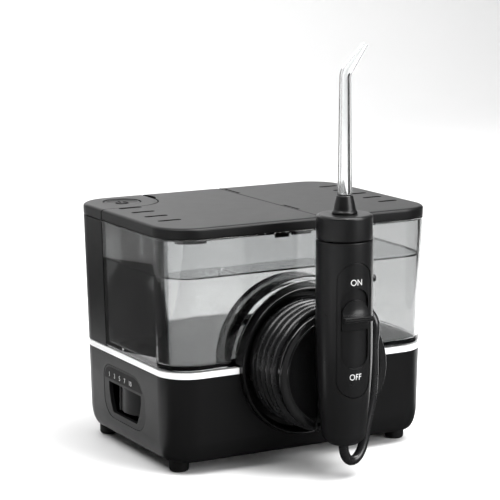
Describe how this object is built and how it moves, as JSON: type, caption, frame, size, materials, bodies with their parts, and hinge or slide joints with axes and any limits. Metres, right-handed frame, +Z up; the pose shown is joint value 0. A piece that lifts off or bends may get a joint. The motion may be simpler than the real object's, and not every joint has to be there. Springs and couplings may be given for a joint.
{
  "type": "countertop water flosser",
  "caption": "Battery water flosser with a clear lift-off tank, a hose wound on a round front reel, a docked handset with a bent clear tip, and a side pressure dial.",
  "frame": {"origin": "on the table, under the middle of the object's bounding box without its hose", "axes": "+Z up, +Y towards the rear wall, +X to the right seen from the front"},
  "size_m": [0.1477, 0.1593, 0.2051],
  "materials": {
    "black_plastic": "fine moulded texture, satin",
    "black_gloss": "polished",
    "dark_plastic": "satin",
    "white_plastic": "smooth",
    "cream_plastic": "unfilled acetal",
    "clear_plastic": "clear polished plastic, not glass",
    "clear_tube": "soft clear tube",
    "hose_rubber": "smooth, slightly glossy",
    "seal_rubber": "matte",
    "steel": "plated",
    "brass": "machined",
    "board": "solder mask",
    "cell_wrap": "shrink wrap"
  },
  "bodies": {
    "base": {"lower_housing": "black_plastic", "bottom_cover": "black_plastic", "rubber_feet": "seal_rubber", "cover_screws": "steel", "trim_band": "white_plastic", "top_deck": "black_plastic", "tower_shell": "black_plastic", "tower_cap": "black_plastic", "button_spring": "steel", "button_board": "board", "reel_drum": "black_plastic", "reel_flange": "black_gloss", "reel_core": "black_gloss", "dock_plate": "black_gloss", "dock_magnet": "steel", "hose_coil": "hose_rubber", "hose_lead": "hose_rubber", "dial_bezel": "dark_plastic", "dial_post": "dark_plastic", "pressure_valve": "cream_plastic", "pump_motor": "steel", "motor_bracket": "dark_plastic", "gear_axle": "steel", "pump_cylinder": "dark_plastic", "pump_head": "dark_plastic", "check_valves": "seal_rubber", "inlet_seal": "seal_rubber", "outlet_tube": "clear_tube", "battery_cells": "cell_wrap", "battery_cradle": "dark_plastic", "control_board": "board", "charge_socket": "dark_plastic"},
    "power_button": {"power_button": "dark_plastic"},
    "pressure_dial": {"pressure_dial": "black_gloss"},
    "motor_rotor": {"motor_shaft": "steel", "motor_pinion": "brass"},
    "crank": {"crank_gear": "cream_plastic"},
    "piston": {"piston_rod": "cream_plastic", "piston_seal": "seal_rubber"},
    "water_tank": {"water_tank": "clear_plastic", "valve_spring": "steel"},
    "tank_valve": {"valve_plunger": "seal_rubber"},
    "lid_left": {"lid_left": "black_plastic", "hinge_pins": "steel"},
    "lid_flap": {"lid_flap": "black_plastic"},
    "handset": {"handset_shell": "black_plastic", "switch_track": "dark_plastic", "handset_tube": "clear_tube", "steel_keeper": "steel", "hose_gland": "hose_rubber", "eject_spring": "steel"},
    "switch": {"switch_slider": "black_plastic"},
    "eject": {"eject_button": "dark_plastic"},
    "tip_collar": {"tip_collar": "black_plastic", "collar_oring": "seal_rubber"},
    "tip": {"tip_base": "black_plastic", "tip_nozzle": "clear_plastic"}
  },
  "joints": [
    {"name": "power_press", "type": "slide", "parent": "base", "child": "power_button", "axis": [0, 0, -1], "range_m": [0, 0.0012], "stiffness_N_per_m": 400, "deforming": ["button_spring"]},
    {"name": "pressure_turn", "type": "hinge", "parent": "base", "child": "pressure_dial", "pos_m": [-0.054, 0.0274, 0.027], "axis": [0, 0, 1], "range_deg": [0, 62]},
    {"name": "crank_spin", "type": "hinge", "parent": "base", "child": "crank", "pos_m": [0.008, 0.0329, 0.027], "axis": [1, 0, 0], "continuous": true},
    {"name": "motor_spin", "type": "hinge", "parent": "base", "child": "motor_rotor", "pos_m": [0.008, 0.0129, 0.027], "axis": [1, 0, 0], "continuous": true},
    {"name": "piston_stroke", "type": "slide", "parent": "base", "child": "piston", "axis": [0, 1, 0], "range_m": [-0.003, 0.003]},
    {"name": "tank_lift", "type": "slide", "parent": "base", "child": "water_tank", "axis": [0, 0, 1], "range_m": [0, 0.075]},
    {"name": "valve_open", "type": "slide", "parent": "water_tank", "child": "tank_valve", "axis": [0, 0, 1], "range_m": [0, 0.0015], "stiffness_N_per_m": 100, "deforming": ["valve_spring"]},
    {"name": "lid_lift", "type": "slide", "parent": "water_tank", "child": "lid_left", "axis": [0, 0, 1], "range_m": [0, 0.03]},
    {"name": "flap_open", "type": "hinge", "parent": "lid_left", "child": "lid_flap", "pos_m": [0.0096, 0.0249, 0.1183], "axis": [0, -1, 0], "range_deg": [0, 95]},
    {"name": "handset_pull", "type": "slide", "parent": "base", "child": "handset", "axis": [0, -1, 0], "range_m": [0, 0.03], "deforming": ["hose_lead"]},
    {"name": "switch_slide", "type": "slide", "parent": "handset", "child": "switch", "axis": [0, 0, 1], "range_m": [-0.008, 0]},
    {"name": "eject_press", "type": "slide", "parent": "handset", "child": "eject", "axis": [-0.9954, 0.0958, 0], "range_m": [0, 0.0012], "stiffness_N_per_m": 300, "deforming": ["eject_spring"]},
    {"name": "tip_rotation", "type": "hinge", "parent": "handset", "child": "tip_collar", "pos_m": [0, -0.0628, 0.12], "axis": [0, 0, 1], "continuous": true},
    {"name": "tip_pull", "type": "slide", "parent": "tip_collar", "child": "tip", "axis": [0, 0, 1], "range_m": [0, 0.016]}
  ],
  "couplings": [
    {"joint": "motor_spin", "follows": "crank_spin", "ratio": -4}
  ]
}
